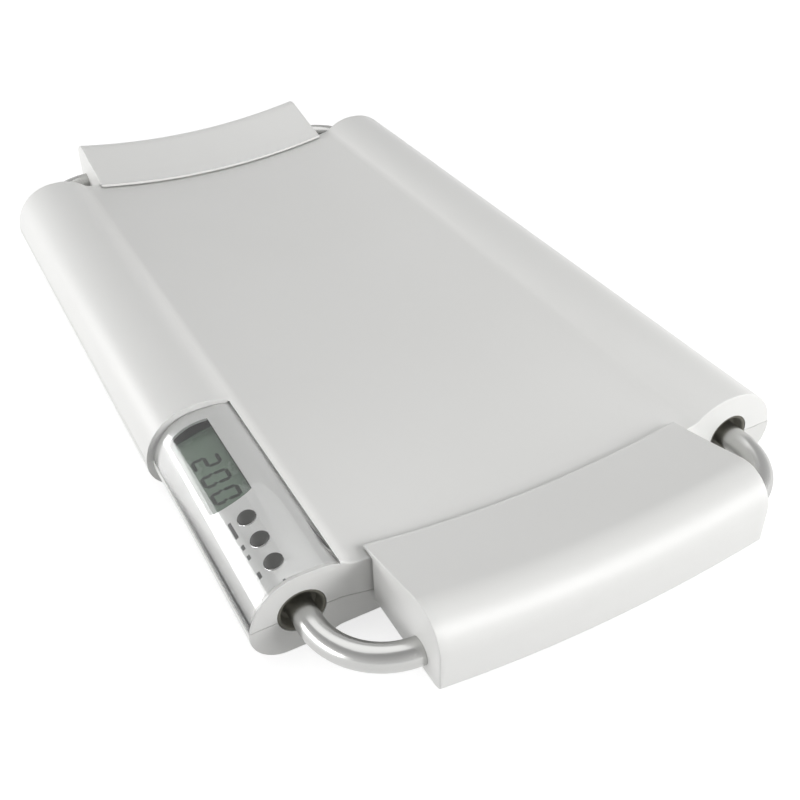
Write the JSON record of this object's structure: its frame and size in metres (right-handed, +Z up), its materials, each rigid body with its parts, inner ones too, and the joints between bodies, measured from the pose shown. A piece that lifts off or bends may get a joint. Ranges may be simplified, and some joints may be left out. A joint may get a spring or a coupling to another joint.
{
  "type": "digital baby weighing scale",
  "caption": "Low baby weighing scale: sagging cradle tray between round side rails, corner display with push buttons, and end blocks that slide out on bent steel tubes.",
  "frame": {"origin": "on the floor under the middle of the tray", "axes": "+X across the tray, away from the rail with the display; +Y along the tray, away from the display end; +Z up"},
  "size_m": [0.346, 0.642, 0.0658],
  "materials": {
    "shell_white": "satin moulded ABS",
    "base_white": "fine-textured moulded ABS",
    "inner_white": "moulded ABS",
    "panel_silver": "pearl silver paint on moulded plastic",
    "lens_clear": "clear polished acrylic",
    "trim_black": "matt",
    "lcd_glass": "grey-green reflective LCD cell",
    "strip_rubber": "conductive rubber strip",
    "board_green": "solder mask on glass-fibre board",
    "chip_black": "moulded",
    "switch_black": "moulded",
    "button_grey": "satin moulded key",
    "lead_red": "wire insulation",
    "lead_grey": "flat cable insulation",
    "contact_steel": "nickel plated",
    "battery_case": "printed can, no lettering",
    "cell_steel": "stamped",
    "pad_rubber": "matt",
    "grommet_rubber": "dark olive-grey",
    "bush_acetal": "natural acetal",
    "tube_steel": "satin chromed steel tube",
    "plug_black": "moulded",
    "screw_steel": "zinc plated"
  },
  "bodies": {
    "body": {"top_cover": "shell_white", "base_shell": "base_white", "console_panel": "panel_silver", "console_lens": "lens_clear", "lcd_frame": "trim_black", "lcd_glass": "lcd_glass", "lcd_contact_strips": "strip_rubber", "display_board": "board_green", "switch_bodies": "switch_black", "main_board": "board_green", "board_parts": "chip_black", "cell_leads": "lead_red", "display_lead": "lead_grey", "battery_leads": "lead_red", "battery_contacts": "contact_steel", "battery_springs": "contact_steel", "batteries": "battery_case", "cell_retainers": "inner_white", "body_screws": "screw_steel", "inner_screws": "screw_steel", "front_left_cell": "cell_steel", "front_left_foot_cup": "inner_white", "front_left_foot_pad": "pad_rubber", "front_left_grommet": "grommet_rubber", "front_left_bush": "bush_acetal", "front_right_cell": "cell_steel", "front_right_foot_cup": "inner_white", "front_right_foot_pad": "pad_rubber", "front_right_grommet": "grommet_rubber", "front_right_bush": "bush_acetal", "rear_left_cell": "cell_steel", "rear_left_foot_cup": "inner_white", "rear_left_foot_pad": "pad_rubber", "rear_left_grommet": "grommet_rubber", "rear_left_bush": "bush_acetal", "rear_right_cell": "cell_steel", "rear_right_foot_cup": "inner_white", "rear_right_foot_pad": "pad_rubber", "rear_right_grommet": "grommet_rubber", "rear_right_bush": "bush_acetal"},
    "front_carriage": {"front_tube": "tube_steel", "front_leg_plugs": "plug_black", "front_block_shell": "shell_white", "front_block_plate": "base_white", "front_tube_straps": "inner_white", "front_block_screws": "screw_steel"},
    "rear_carriage": {"rear_tube": "tube_steel", "rear_leg_plugs": "plug_black", "rear_block_shell": "shell_white", "rear_block_plate": "base_white", "rear_tube_straps": "inner_white", "rear_block_screws": "screw_steel"},
    "unit_button": {"unit_button": "button_grey", "unit_plunger": "switch_black"},
    "tare_button": {"tare_button": "button_grey", "tare_plunger": "switch_black"},
    "power_button": {"power_button": "button_grey", "power_plunger": "switch_black"},
    "battery_cover": {"battery_cover": "base_white"}
  },
  "joints": [
    {"name": "front_extension", "type": "slide", "parent": "body", "child": "front_carriage", "axis": [0, -1, 0], "range_m": [0, 0.06]},
    {"name": "rear_extension", "type": "slide", "parent": "body", "child": "rear_carriage", "axis": [0, 1, 0], "range_m": [0, 0.06]},
    {"name": "unit_press", "type": "slide", "parent": "body", "child": "unit_button", "axis": [0.2419, 0, -0.9703], "range_m": [0, 0.0007], "stiffness_N_per_m": 600, "springref_m": -0.0003},
    {"name": "tare_press", "type": "slide", "parent": "body", "child": "tare_button", "axis": [0.2419, 0, -0.9703], "range_m": [0, 0.0007], "stiffness_N_per_m": 600, "springref_m": -0.0003},
    {"name": "power_press", "type": "slide", "parent": "body", "child": "power_button", "axis": [0.2419, 0, -0.9703], "range_m": [0, 0.0007], "stiffness_N_per_m": 600, "springref_m": -0.0003},
    {"name": "battery_cover_hinge", "type": "hinge", "parent": "body", "child": "battery_cover", "pos_m": [0, 0.0656, 0.0132], "axis": [1, 0, 0], "range_deg": [0, 75]}
  ]
}
